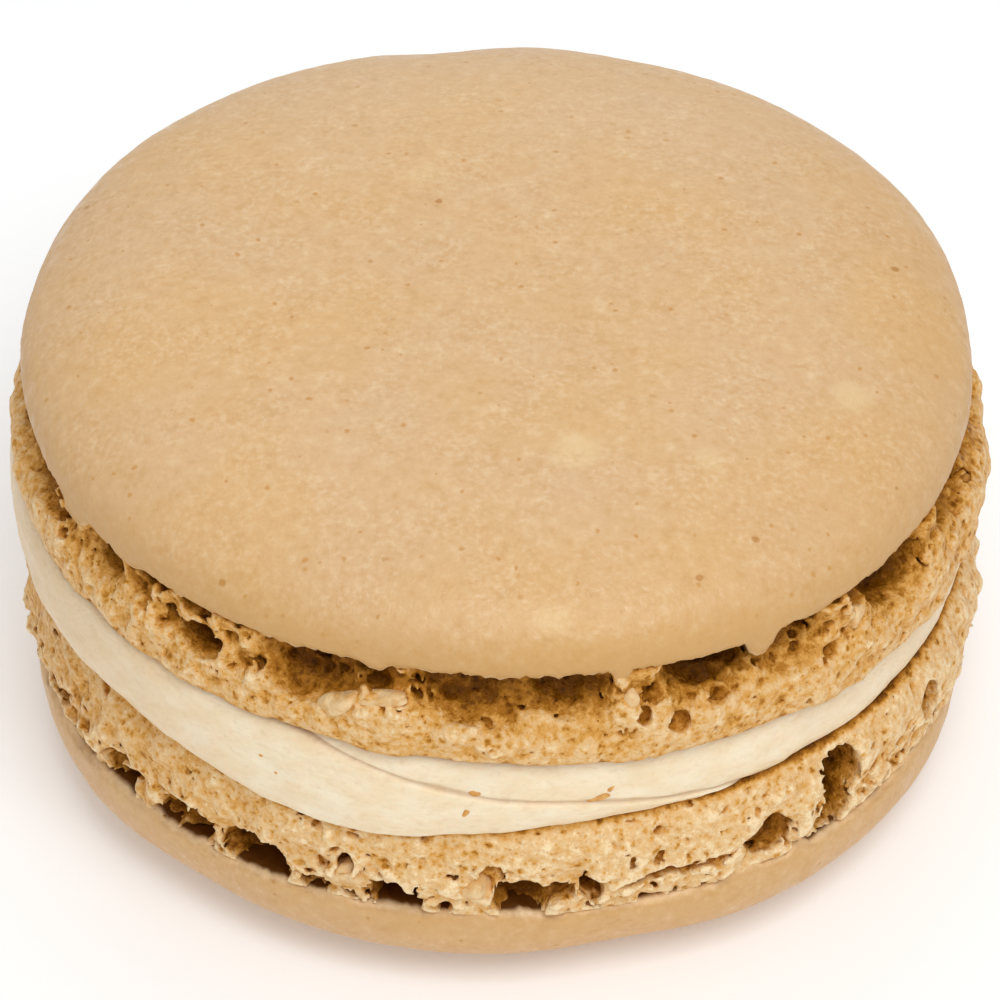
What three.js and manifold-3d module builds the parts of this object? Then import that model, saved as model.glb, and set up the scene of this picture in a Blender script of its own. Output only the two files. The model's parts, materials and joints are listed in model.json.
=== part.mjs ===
// A filled French macaron: two baked meringue shells with a layer of cream pressed between them.
//
// Each shell is one baked piece, a smooth domed crust that stands on a frothy "foot". The foot rose in the
// oven under the crust, so it is ragged: hollow and drawn in beneath the crust's lip, and flared into a
// skirt where it meets the cream. The lower shell is the same thing turned over, so the biscuit rests on
// the level middle of its crust.
//
// Millimetres, +Z up. The origin is the middle of the flat spot that the biscuit rests on.
// Angles are in degrees anticlockwise from +X, seen from above the finished biscuit; -90 is its front.

import * as THREE from "three";
import { ImprovedNoise } from "three/addons/math/ImprovedNoise.js";
import { mergeVertices } from "three/addons/utils/BufferGeometryUtils.js";
import Module from "manifold-3d";

// ---- Driving dimensions ------------------------------------------------------------------------

const SKIRT_RADIUS = 22.5; // each foot at its widest
const CRUST_RADIUS = 21.9; // each crust at its lip
const UPPER_NECK = 20.9; // the upper foot where it is drawn in under the lip
const LOWER_NECK = 21.9; // the lower foot fills out to its lip
const LOWER_CRUST = 5.15; // from the table up to the lower lip
const LOWER_FOOT = 5.65; // from the lower lip up to the cream, on the middle line
const CREAM = 3.8; // between the two feet, on the middle line
const UPPER_FOOT = 4.7;
const UPPER_CRUST = 4.9;
const REST_RADIUS = 11; // flat spot under the lower crust
const LOWER_RISE = -0.03; // each foot's flat face slopes: the lower foot rose higher on the -X side
const UPPER_RISE = 0.035; // and the upper one on the +X side
const UPPER_TIP = 0.026; // the upper shell tips down on the +X side, in radians
const CLEARANCE = 0.15; // between the cream and each shell, so that no two solids share a face

const LIP_ROUND = 0.5; // rounded lower edge of a crust
const LIP_WAVE = 0.25; // how far the lip's edge wanders up and down
const RUFFLE = 0.55; // how far a foot's side wanders in and out
const CREAM_RADIUS = 21.75;
const CREAM_BELLY = 0.35; // how far the side of the cream bows out between the shells
const CREAM_STEP = 0.35; // how far the lower bead of cream stands proud of the upper one
const CREAM_SHIFT = 0.35; // the cream was pressed out towards the -X side
const CREAM_PRESSED = [-110, 21, 0.45]; // and over the foot's edge: angle, half width in degrees, how far

const LOWER_LIP_Z = LOWER_CRUST;
const LOWER_FACE_Z = LOWER_LIP_Z + LOWER_FOOT;
const UPPER_LIP_Z = LOWER_FACE_Z + CREAM + UPPER_FOOT;

// ---- How finely each form is divided -----------------------------------------------------------

const CRUST_SIDES = 76;
const CRUST_STEPS = 7; // from the lip's widest line to the level crown
const FOOT_SIDES = 130;
const CREAM_SIDES = 96;
const CREAM_STEPS = 6;

// ---- Out of round ------------------------------------------------------------------------------
// No shell is a true circle. Each outline is [cosines, sines] of once, twice, three and four times round.

const UPPER_CRUST_OUTLINE = [[-0.03, -0.06, -0.1, -0.13], [-0.02, 0.05, 0.07, 0.04]];
const LOWER_CRUST_OUTLINE = [[0, 0, -0.1, -0.12], [-0.08, 0, 0, 0]];
const UPPER_FOOT_OUTLINE = [[0.1, 0.05], []];
const LOWER_FOOT_OUTLINE = [[0.1, 0.05], []];

// ---- Hollows and almond bits in the feet -------------------------------------------------------
// Bubbles burst through the foot under the lip. Each hollow is [angle in degrees, how far its middle lies
// from the lip, half its width, half its height, how deep it goes in from the skirt], in millimetres.

const UPPER_HOLLOWS = [
  [-143, 0.8, 1.0, 1.0, 2.4],
  [-127, 0.3, 1.6, 0.7, 2.4],
  [-125, 1.6, 1.2, 0.7, 2.2],
  [-112, 0.9, 1.9, 1.2, 2.6],
  [-93, 1.0, 2.4, 1.2, 2.4],
  [-82, 0.9, 1.9, 1.2, 2.6],
  [-65.5, 0.6, 1.8, 1.1, 3.4],
  [-54, 0.5, 1.0, 0.9, 3.0],
  [-36, 1.2, 2.1, 1.3, 2.8],
  [-22, 0.9, 1.5, 1.1, 2.6],
];
const LOWER_HOLLOWS = [
  [-157, 1.6, 0.9, 0.7, 2.2],
  [-142, 1.5, 0.9, 1.1, 2.5],
  [-130, 2.0, 1.2, 0.9, 2.6],
  [-120, 1.2, 1.7, 1.1, 3.0],
  [-112.5, 0.6, 0.7, 0.6, 2.4],
  [-101, 0.9, 1.1, 0.8, 3.6],
  [-87.5, 1.5, 1.3, 1.1, 2.6],
  [-80, 1.9, 0.8, 0.6, 3.0],
  [-57, 2.3, 1.2, 1.0, 2.4],
  [-46, 2.3, 1.4, 2.0, 3.2],
  [-28, 2.7, 0.8, 1.1, 2.2],
];
const BACK_HOLLOWS = 10; // round the far half of each foot, placed by a rule

// Coarse bits of ground almond stuck in the foot: [angle, how far from the lip, half length, lean in degrees].
const UPPER_ALMONDS = [[-105, 1.9, 1.7, 28], [-60, 2.4, 0.8, -10]];
const LOWER_ALMONDS = [[-108, 1.1, 1.0, 75], [-93, 1.4, 0.9, 60]];

// ---- Small helpers -----------------------------------------------------------------------------

const wasm = await Module();
wasm.setup();

const noise = new ImprovedNoise();
const radians = THREE.MathUtils.degToRad;
const mix = THREE.MathUtils.lerp;

// A repeatable number from 0 to 1 for each count.
const draw = (count) => {
  const wave = Math.sin(count * 12.9898 + 4.1414) * 43758.5453;
  return wave - Math.floor(wave);
};

// Smooth lumps about `size` across, from -1 to 1, at a point in space.
const lumps = (x, y, z, size, seed) => noise.noise(x / size + seed, y / size, z / size + seed * 1.7);

// How far an outline swells out at an angle.
const swell = ([cosines, sines], angle) =>
  cosines.reduce((sum, size, i) => sum + size * Math.cos((i + 1) * angle), 0) +
  sines.reduce((sum, size, i) => sum + size * Math.sin((i + 1) * angle), 0);

// A closed geometry as a manifold-3d solid.
function solidOf(geometry) {
  geometry.deleteAttribute("normal");
  geometry.deleteAttribute("uv");
  const merged = mergeVertices(geometry);
  return new wasm.Manifold(
    new wasm.Mesh({
      numProp: 3,
      vertProperties: merged.attributes.position.array,
      triVerts: new Uint32Array(merged.index.array),
    }),
  );
}

// A manifold-3d solid as a three.js geometry.
function geometryOf(solid) {
  const { vertProperties, triVerts } = solid.getMesh();
  const geometry = new THREE.BufferGeometry();
  geometry.setAttribute("position", new THREE.BufferAttribute(vertProperties, 3));
  geometry.setIndex(new THREE.BufferAttribute(triVerts, 1));
  geometry.computeVertexNormals();
  return geometry;
}

// A closed round form. `outline` lists the plain [radius, height] of each ring from low on the axis to high
// on the axis, and `place(angle, radius, height)` returns the true [radius, height] of a point on one.
function roundForm(outline, sides, place) {
  const points = [];
  const faces = [];
  const last = outline.length - 1;
  outline.forEach(([plainRadius, plainHeight], ring) => {
    const count = ring === 0 || ring === last ? 1 : sides;
    for (let side = 0; side < count; side++) {
      const angle = (side / sides) * 2 * Math.PI;
      const [radius, height] = place(angle, plainRadius, plainHeight);
      points.push(radius * Math.cos(angle), radius * Math.sin(angle), height);
    }
  });
  const at = (ring, side) => 1 + (ring - 1) * sides + (side % sides);
  const crown = at(last, 0);
  for (let side = 0; side < sides; side++) {
    faces.push(0, at(1, side + 1), at(1, side));
    faces.push(crown, at(last - 1, side), at(last - 1, side + 1));
    for (let ring = 1; ring < last - 1; ring++) {
      faces.push(at(ring, side), at(ring, side + 1), at(ring + 1, side + 1));
      faces.push(at(ring, side), at(ring + 1, side + 1), at(ring + 1, side));
    }
  }
  const geometry = new THREE.BufferGeometry();
  geometry.setAttribute("position", new THREE.Float32BufferAttribute(points, 3));
  geometry.setIndex(faces);
  return geometry;
}

// ---- The crust ---------------------------------------------------------------------------------
// In a shell's own frame the lip lies at height 0, the crust rises above it and the foot hangs below.

// A flat underside, a rounded lip, a shoulder that follows a superellipse, and a level crown.
function crustOutline({ height, shoulder, roundness, crown }) {
  const lastTurn = Math.acos((crown / CRUST_RADIUS) ** (shoulder / 2));
  const arc = Array.from({ length: CRUST_STEPS + 1 }, (_, step) => {
    const turn = (step / CRUST_STEPS) * lastTurn;
    const rise = (Math.sin(turn) / Math.sin(lastTurn)) ** (2 / roundness);
    return [CRUST_RADIUS * Math.cos(turn) ** (2 / shoulder), mix(LIP_ROUND, height, rise)];
  });
  const underLip = [CRUST_RADIUS - LIP_ROUND, 0];
  const onLip = [CRUST_RADIUS - 0.3 * LIP_ROUND, 0.3 * LIP_ROUND];
  return [[0, 0], underLip, onLip, ...arc, [0, height]];
}

function crustSolid(shell) {
  const place = (angle, radius, height) => {
    const out = radius + swell(shell.crustOutline, shell.facing * angle) * (radius / CRUST_RADIUS);
    const wave = LIP_WAVE * lumps(out * Math.cos(angle), out * Math.sin(angle), 0, 3.2, shell.seed);
    return [out, radius > 0 && height < LIP_ROUND ? height + wave : height];
  };
  return solidOf(roundForm(crustOutline(shell), CRUST_SIDES, place));
}

// ---- The foot ----------------------------------------------------------------------------------

// [share of the way in from the skirt to the neck, share of the foot's height below the lip], from the cream
// up to inside the crust.
const FOOT_SIDE = [
  [0.35, 1.0],
  [0.08, 0.9],
  [0, 0.76],
  [0.02, 0.6],
  [0.25, 0.48],
  [0.6, 0.37],
  [0.88, 0.26],
  [1, 0.13],
  [1, -0.06],
];

function footSolid(shell) {
  const side = FOOT_SIDE.map(([inward, share]) => [mix(SKIRT_RADIUS, shell.neck, inward), share]);
  const outline = [[0, side[0][1]], ...side, [0, side.at(-1)[1]]];
  const place = (angle, radius, share) => {
    const x = radius * Math.cos(angle);
    const y = radius * Math.sin(angle);
    const depth = share * (shell.foot + shell.rise * x);
    const onSide = radius > 0 && share > 0 && share < 1;
    const coarse = lumps(x, y, depth, 2.4, shell.seed);
    const fine = lumps(x, y, depth, 1.1, shell.seed + 5);
    const ragged = (onSide ? RUFFLE : 0.3 * RUFFLE) * (coarse + 0.6 * fine);
    return [radius > 0 ? radius + ragged + swell(shell.footOutline, shell.facing * angle) : 0, -depth];
  };
  return solidOf(roundForm(outline, FOOT_SIDES, place));
}

// The hollows on the far half of a foot.
function backHollows(seed) {
  return Array.from({ length: BACK_HOLLOWS }, (_, i) => {
    const any = (n) => draw(seed * 100 + i * 7 + n);
    const angle = -6 + (i + 0.3 + 0.4 * any(0)) * (192 / BACK_HOLLOWS);
    return [angle, mix(0.6, 1.8, any(1)), mix(1.0, 1.9, any(2)), mix(0.6, 1.1, any(3)), mix(2.2, 3.2, any(4))];
  });
}

// An uneven blob: a coarse ball whose corners are pushed in and out.
function blob(seed) {
  const ball = new THREE.IcosahedronGeometry(1, 1);
  const corners = ball.getAttribute("position");
  const corner = new THREE.Vector3();
  for (let i = 0; i < corners.count; i++) {
    corner.fromBufferAttribute(corners, i);
    corner.multiplyScalar(1 + 0.5 * lumps(corner.x, corner.y, corner.z, 0.8, seed));
    corners.setXYZ(i, corner.x, corner.y, corner.z);
  }
  return ball;
}

function hollowSolid([angle, drop, halfWidth, halfHeight, depth], facing) {
  const bubble = blob(angle);
  bubble.scale(depth, halfWidth, halfHeight);
  bubble.translate(SKIRT_RADIUS + 0.2, 0, -drop);
  bubble.rotateZ(radians(facing * angle));
  return solidOf(bubble);
}

function almondSolid([angle, drop, halfLength, lean], facing) {
  const bit = blob(angle);
  bit.scale(0.9, halfLength, 0.45);
  bit.rotateX(radians(facing * lean));
  bit.translate(SKIRT_RADIUS - 0.75, 0, -drop);
  bit.rotateZ(radians(facing * angle));
  return solidOf(bit);
}

// ---- A whole shell -----------------------------------------------------------------------------
// `facing` is 1 for the upper shell and -1 for the lower one, which is turned over about the X axis, so
// that its own angles run the other way round.

function shellGeometry(shell) {
  let solid = footSolid(shell);
  for (const hollow of [...shell.hollows, ...backHollows(shell.seed)]) {
    solid = solid.subtract(hollowSolid(hollow, shell.facing));
  }
  for (const bit of shell.almonds) solid = solid.add(almondSolid(bit, shell.facing));
  const pieces = solid.add(crustSolid(shell)).decompose();
  return geometryOf(pieces.reduce((best, piece) => (piece.volume() > best.volume() ? piece : best)));
}

const LOWER = {
  facing: -1,
  seed: 11,
  height: LOWER_CRUST,
  shoulder: 3.1,
  roundness: 3.5,
  crown: REST_RADIUS,
  crustOutline: LOWER_CRUST_OUTLINE,
  foot: LOWER_FOOT,
  neck: LOWER_NECK,
  rise: LOWER_RISE,
  footOutline: LOWER_FOOT_OUTLINE,
  hollows: LOWER_HOLLOWS,
  almonds: LOWER_ALMONDS,
};
const UPPER = {
  facing: 1,
  seed: 23,
  height: UPPER_CRUST,
  shoulder: 4.4,
  roundness: 2.2,
  crown: 3,
  crustOutline: UPPER_CRUST_OUTLINE,
  foot: UPPER_FOOT,
  neck: UPPER_NECK,
  rise: UPPER_RISE,
  footOutline: UPPER_FOOT_OUTLINE,
  hollows: UPPER_HOLLOWS,
  almonds: UPPER_ALMONDS,
};

// ---- The cream ---------------------------------------------------------------------------------
// It was piped in one turn, so the seam where the turn closes slants down across the front. Above the seam
// lies a drawn-in bead, and below it a fuller one, which draws in slowly round the back. The cream fills the
// wedge between the two shells.

const SEAM_HIGH = -113; // the seam meets the upper foot at this angle
const SEAM_LOW = -52; // and the lower foot at this one
const SEAM_SOFTNESS = 0.12; // share of the cream's height over which one bead gives way to the other
const SEAM_BACK = 20; // the fuller bead has drawn in fully where it comes round to this angle

function creamGeometry() {
  const shares = Array.from({ length: CREAM_STEPS + 1 }, (_, step) => step / CREAM_STEPS);
  const outline = [[0, 0], ...shares.map((share) => [CREAM_RADIUS, share]), [0, 1]];
  const place = (angle, radius, share) => {
    const degrees = THREE.MathUtils.euclideanModulo(THREE.MathUtils.radToDeg(angle) + 180, 360) - 180;
    const seam = THREE.MathUtils.clamp((SEAM_LOW - degrees) / (SEAM_LOW - SEAM_HIGH), 0, 1);
    const below = THREE.MathUtils.smoothstep(seam - share, -SEAM_SOFTNESS, SEAM_SOFTNESS);
    const full = Math.max(below, THREE.MathUtils.smoothstep(degrees, SEAM_BACK, 180));
    const pressed = CREAM_PRESSED[2] * Math.exp(-(((degrees - CREAM_PRESSED[0]) / CREAM_PRESSED[1]) ** 2));
    const belly = CREAM_BELLY * (Math.sin(Math.PI * share) - 0.7);
    const sway = 0.15 * lumps(radius * Math.cos(angle), radius * Math.sin(angle), share * 3, 5, 3);
    const shift = -CREAM_SHIFT * Math.cos(angle);
    const side = radius + belly + CREAM_STEP * full + sway + shift + pressed * Math.max(0, 1 - share / 0.6);
    const out = radius > 0 ? side : 0;
    const x = out * Math.cos(angle);
    const low = LOWER_FACE_Z + LOWER_RISE * x + CLEARANCE;
    const upperFoot = UPPER_FOOT + UPPER_RISE * x;
    const high = UPPER_LIP_Z - (x * Math.sin(UPPER_TIP) + upperFoot) / Math.cos(UPPER_TIP) - CLEARANCE;
    return [out, mix(low, high, share)];
  };
  return geometryOf(solidOf(roundForm(outline, CREAM_SIDES, place)));
}

// ---- The finished biscuit ----------------------------------------------------------------------

const baked = new THREE.MeshStandardMaterial({ color: 0xdfb684, roughness: 0.62, metalness: 0 });
const buttercream = new THREE.MeshStandardMaterial({ color: 0xf1dfbf, roughness: 0.5, metalness: 0 });

function named(name, geometry, material) {
  const mesh = new THREE.Mesh(geometry, material);
  mesh.name = name;
  return mesh;
}

const lowerShell = named("lower_shell", shellGeometry(LOWER), baked);
lowerShell.rotation.x = Math.PI;
lowerShell.position.z = LOWER_LIP_Z;

const cream = named("cream", creamGeometry(), buttercream);

const upperShell = named("upper_shell", shellGeometry(UPPER), baked);
upperShell.rotation.y = UPPER_TIP;
upperShell.position.z = UPPER_LIP_Z;

const macaron = new THREE.Group();
macaron.add(lowerShell, cream, upperShell);

export default macaron;
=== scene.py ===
# %% [markdown]
# # A filled macaron
#
# This lesson dresses a French macaron: two baked almond shells with buttercream pressed between them. The
# plain solids already exist as a fixed frame, and each piece made here takes the place of one of them.
#
# A shell is one piece of baking with two very different surfaces. The crust on top dried before it went into
# the oven, so it is smooth. The foot under it is the batter that boiled out sideways, so it is froth. The two
# surfaces call for two ways of modelling, and so each shell is made here as a crust and a foot.
#
# Sizes are in millimetres in the code, and `MM` turns them into Blender's metres. Angles run anticlockwise
# from +X, seen from above, and the front is at -90 degrees.

# %% Open the frame
import json
import math

import bpy
import numpy as np
from mathutils import Matrix, Vector

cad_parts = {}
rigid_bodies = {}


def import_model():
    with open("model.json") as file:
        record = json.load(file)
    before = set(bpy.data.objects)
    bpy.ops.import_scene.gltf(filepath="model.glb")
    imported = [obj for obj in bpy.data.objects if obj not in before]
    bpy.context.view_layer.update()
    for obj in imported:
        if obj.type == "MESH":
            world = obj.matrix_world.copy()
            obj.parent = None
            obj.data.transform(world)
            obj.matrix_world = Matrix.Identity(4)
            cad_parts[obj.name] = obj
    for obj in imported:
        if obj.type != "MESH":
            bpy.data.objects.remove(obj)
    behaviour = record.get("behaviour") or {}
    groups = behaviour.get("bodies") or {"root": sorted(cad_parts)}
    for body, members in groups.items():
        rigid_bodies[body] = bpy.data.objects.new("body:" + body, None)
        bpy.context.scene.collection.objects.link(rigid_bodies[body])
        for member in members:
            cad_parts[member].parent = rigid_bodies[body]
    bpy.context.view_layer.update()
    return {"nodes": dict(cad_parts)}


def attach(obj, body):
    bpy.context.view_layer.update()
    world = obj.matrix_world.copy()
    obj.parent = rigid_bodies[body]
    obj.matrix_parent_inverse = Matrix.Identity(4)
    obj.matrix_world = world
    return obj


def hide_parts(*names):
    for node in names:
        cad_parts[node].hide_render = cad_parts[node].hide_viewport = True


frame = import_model()

MM = 0.001
FRONT = -90.0  # degrees
print("nodes to dress:", sorted(frame["nodes"]))

# %% [markdown]
# ## The viewpoint
#
# The macaron is seen from 40 degrees above the table and from close by, about seven times its width away, so
# the far side comes out a little smaller than the near side. A long lens at that distance gives this mild
# perspective. A wide lens nearer by would make the front swell.

# %% Camera
EYE_HEIGHT = math.radians(40.4)
EYE_DISTANCE = 300 * MM
AIM = Vector((0, 0, 11 * MM))  # a point half way up the macaron
LENS = 231.8  # focal length in millimetres

bpy.ops.object.camera_add()
camera = bpy.context.object
camera.name = "camera"
away = Vector((0, -math.cos(EYE_HEIGHT), math.sin(EYE_HEIGHT)))
camera.location = AIM + EYE_DISTANCE * away
camera.rotation_euler = (math.pi / 2 - EYE_HEIGHT, 0, 0)
camera.data.sensor_width = 36
camera.data.lens = LENS
camera.data.clip_start = 10 * MM
bpy.context.scene.camera = camera
print("camera at", [round(v / MM) for v in camera.location], "mm")

# %% [markdown]
# ## The studio
#
# Food like this is lit by one big soft light, with pale surroundings that fill the shadows from all sides.
# Large area lights give soft edges, and a white world acts as the walls of a light tent.

# %% Floor, light and world
WORLD_STRENGTH = 0.5


def softbox(name, size, power, turn, rise, distance=330):
    """A square light that faces the macaron from a compass angle and a height angle, in degrees."""
    turn, rise = math.radians(turn), math.radians(rise)
    away = Vector((math.cos(rise) * math.cos(turn), math.cos(rise) * math.sin(turn), math.sin(rise)))
    place = AIM + away * distance * MM
    bpy.ops.object.light_add(type="AREA", location=place)
    light = bpy.context.object
    light.name = name
    light.data.shape = "SQUARE"
    light.data.size = size * MM
    light.data.energy = power
    light.rotation_euler = away.to_track_quat("Z", "Y").to_euler()
    return light


bpy.ops.mesh.primitive_plane_add(size=6)  # metres, so that its edges stay out of sight
floor = bpy.context.object
floor.name = "floor"

# The powers are watts. They are small because the macaron is small and the lights hang close to it.
softbox("front", 170, 0.47, -72, 57)
softbox("back", 260, 0.16, 95, 48)

world = bpy.data.worlds.new("light tent")
bpy.context.scene.world = world
world.use_nodes = True
world.node_tree.nodes["Background"].inputs["Color"].default_value = (1, 1, 1, 1)
world.node_tree.nodes["Background"].inputs["Strength"].default_value = WORLD_STRENGTH
bpy.context.scene.view_settings.view_transform = "Standard"

# %% [markdown]
# ## Sums made of nodes
#
# Both the materials and the froth need numbers that change from point to point, and Blender works those out
# with nodes. Wiring every node by hand hides the thought behind it, so this cell lets a node's output be
# added and multiplied like a number. `a * 2 + b` then builds the same nodes that a mouse would.


# %% Fields
class Field:
    """A value that nodes work out at every point."""

    def __init__(self, socket):
        self.socket = socket

    def _new(self, kind, operation, *others, output=0):
        tree = self.socket.id_data
        node = tree.nodes.new(kind)
        node.operation = operation
        for slot, value in zip(node.inputs, (self, *others)):
            feed(slot, value)
        return Field(node.outputs[output])

    def _math(self, operation, *others):
        return self._new("ShaderNodeMath", operation, *others)

    def __add__(self, other):
        return self._math("ADD", other)

    def __sub__(self, other):
        return self._math("SUBTRACT", other)

    def __mul__(self, other):
        return self._math("MULTIPLY", other)

    def __truediv__(self, other):
        return self._math("DIVIDE", other)

    def __rsub__(self, other):
        return self * -1 + other

    def above(self, other):
        return self._math("GREATER_THAN", other)

    def below(self, other):
        return self._math("LESS_THAN", other)

    def power(self, other):
        return self._math("POWER", other)

    def cos(self):
        return self._math("COSINE")

    def sin(self):
        return self._math("SINE")

    def least(self, other, blend=0.0):
        """The smaller of two, with the corner between them rounded over `blend`."""
        if blend:
            return self._math("SMOOTH_MIN", other, blend)
        return self._math("MINIMUM", other)

    def ramp(self, start, end):
        """0 before start, 1 after end, and a soft step between."""
        node = self.socket.id_data.nodes.new("ShaderNodeMapRange")
        node.interpolation_type = "SMOOTHSTEP"
        feed(node.inputs["Value"], self)
        feed(node.inputs["From Min"], start)
        feed(node.inputs["From Max"], end)
        return Field(node.outputs["Result"])

    def curve(self, points):
        """A drawn curve through (x, y) points, both from 0 to 1."""
        node = self.socket.id_data.nodes.new("ShaderNodeFloatCurve")
        feed(node.inputs["Value"], self)
        drawn = node.mapping.curves[0].points
        for _ in range(len(points) - 2):
            drawn.new(0.5, 0.5)
        for point, place in zip(drawn, sorted(points)):
            point.location = place
        node.mapping.update()
        return Field(node.outputs["Value"])

    # Fields that hold a place or a direction.
    def shifted(self, offset):
        return self._new("ShaderNodeVectorMath", "ADD", offset)

    def scaled(self, factors):
        return self._new("ShaderNodeVectorMath", "MULTIPLY", factors)

    def length(self):
        return self._new("ShaderNodeVectorMath", "LENGTH", output="Value")

    def turned(self, angle):
        node = self.socket.id_data.nodes.new("ShaderNodeVectorRotate")
        node.rotation_type = "Z_AXIS"
        feed(node.inputs["Vector"], self)
        feed(node.inputs["Angle"], angle)
        return Field(node.outputs["Vector"])

    def parts(self):
        node = self.socket.id_data.nodes.new("ShaderNodeSeparateXYZ")
        feed(node.inputs["Vector"], self)
        return [Field(output) for output in node.outputs]


def evened_out(field, rounds):
    """The same field, averaged again and again with its neighbours on the mesh."""
    node = field.socket.id_data.nodes.new("GeometryNodeBlurAttribute")
    feed(node.inputs[0], field)
    feed(node.inputs["Iterations"], rounds)
    return Field(node.outputs[0])


def feed(slot, value):
    """Give a node's input a field or a plain value."""
    if isinstance(value, Field):
        slot.id_data.links.new(value.socket, slot)
    else:
        slot.default_value = value


def noise(place, size, detail=2.0, rough=0.5, seed=0.0, output="Fac"):
    """Cloudy noise from 0 to 1 with lumps about `size` across."""
    node = place.socket.id_data.nodes.new("ShaderNodeTexNoise")
    feed(node.inputs["Vector"], place.shifted((seed, -seed, seed)) if seed else place)
    feed(node.inputs["Scale"], 1 / size)
    feed(node.inputs["Detail"], detail)
    feed(node.inputs["Roughness"], rough)
    return Field(node.outputs[output])


def bubbles(place, size, seed=0.0):
    """Scattered points about `size` apart: the distance to the nearest, and a random number for it."""
    node = place.socket.id_data.nodes.new("ShaderNodeTexVoronoi")
    feed(node.inputs["Vector"], place.shifted((seed, -seed, seed)))
    feed(node.inputs["Scale"], 1 / size)
    return Field(node.outputs["Distance"]) * size, Field(node.outputs["Color"]).parts()[0]


print("fields ready")

# %% [markdown]
# ## Mixing colours
#
# A baked surface has no single colour. Its finish starts with a plain tan, and each line lays one more colour
# over it where a field says so, as a painter glazes one layer over another. Fields of noise and of spots say
# where the layers go. They are worked out at each point of the piece, so they need no image.


# %% Colours, spots and bumps
def srgb(red, green, blue):
    """A colour as seen on a screen, 0 to 255, as the linear numbers that shaders use."""
    screen = np.array([red, green, blue]) / 255
    linear = np.where(screen > 0.04045, ((screen + 0.055) / 1.055) ** 2.4, screen / 12.92)
    return (*map(float, linear), 1.0)


TO_MM = (1 / MM, 1 / MM, 1 / MM)


def finish_named(name):
    """A new material, its shader, and the place in millimetres on the object."""
    material = bpy.data.materials.new(name)
    material.use_nodes = True
    tree = material.node_tree
    shader = tree.nodes["Principled BSDF"]
    place = Field(tree.nodes.new("ShaderNodeTexCoord").outputs["Object"]).scaled(TO_MM)
    return material, shader, place


def blend_colours(amount, first, second):
    """A colour that goes from first to second as amount goes from 0 to 1."""
    node = amount.socket.id_data.nodes.new("ShaderNodeMix")
    node.data_type = "RGBA"
    colour_slots = [slot for slot in node.inputs if slot.type == "RGBA"]
    feed(node.inputs[0], amount)
    feed(colour_slots[0], first)
    feed(colour_slots[1], second)
    return Field([output for output in node.outputs if output.type == "RGBA"][0])


def layered(colour, *layers):
    """Lays one colour after another over the first, each as strongly as its field says."""
    for amount, over in layers:
        colour = blend_colours(amount, colour, srgb(*over))
    return colour


def bump(shader, height, distance):
    """Fine relief, in shading only. `height` runs from 0 to 1 over `distance` millimetres."""
    node = shader.id_data.nodes.new("ShaderNodeBump")
    feed(node.inputs["Height"], height)
    feed(node.inputs["Distance"], distance * MM)
    shader.id_data.links.new(node.outputs["Normal"], shader.inputs["Normal"])


def spots(place, spacing, radius, rare, soft=0.5, seed=0.0):
    """Round spots: 1 in the middle of each and 0 outside. The rarer, the more of them are left out."""
    distance, chance = bubbles(place, spacing, seed)
    size = chance.ramp(rare, 1.0) * radius
    return 1 - (distance / (size + 0.001)).ramp(1 - soft, 1 + soft)


def wobbled(place, size, strength):
    """The same place, pushed about a little, so that spots looked up there aren't truly round."""
    push = noise(place, size, detail=1.0, output="Color").shifted((-0.5, -0.5, -0.5))
    return place.shifted(push.scaled((strength, strength, strength)))


def attribute(material, name):
    """A number that is stored in the mesh under this name."""
    node = material.node_tree.nodes.new("ShaderNodeAttribute")
    node.attribute_name = name
    return Field(node.outputs["Fac"])


print("colours ready")
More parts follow.
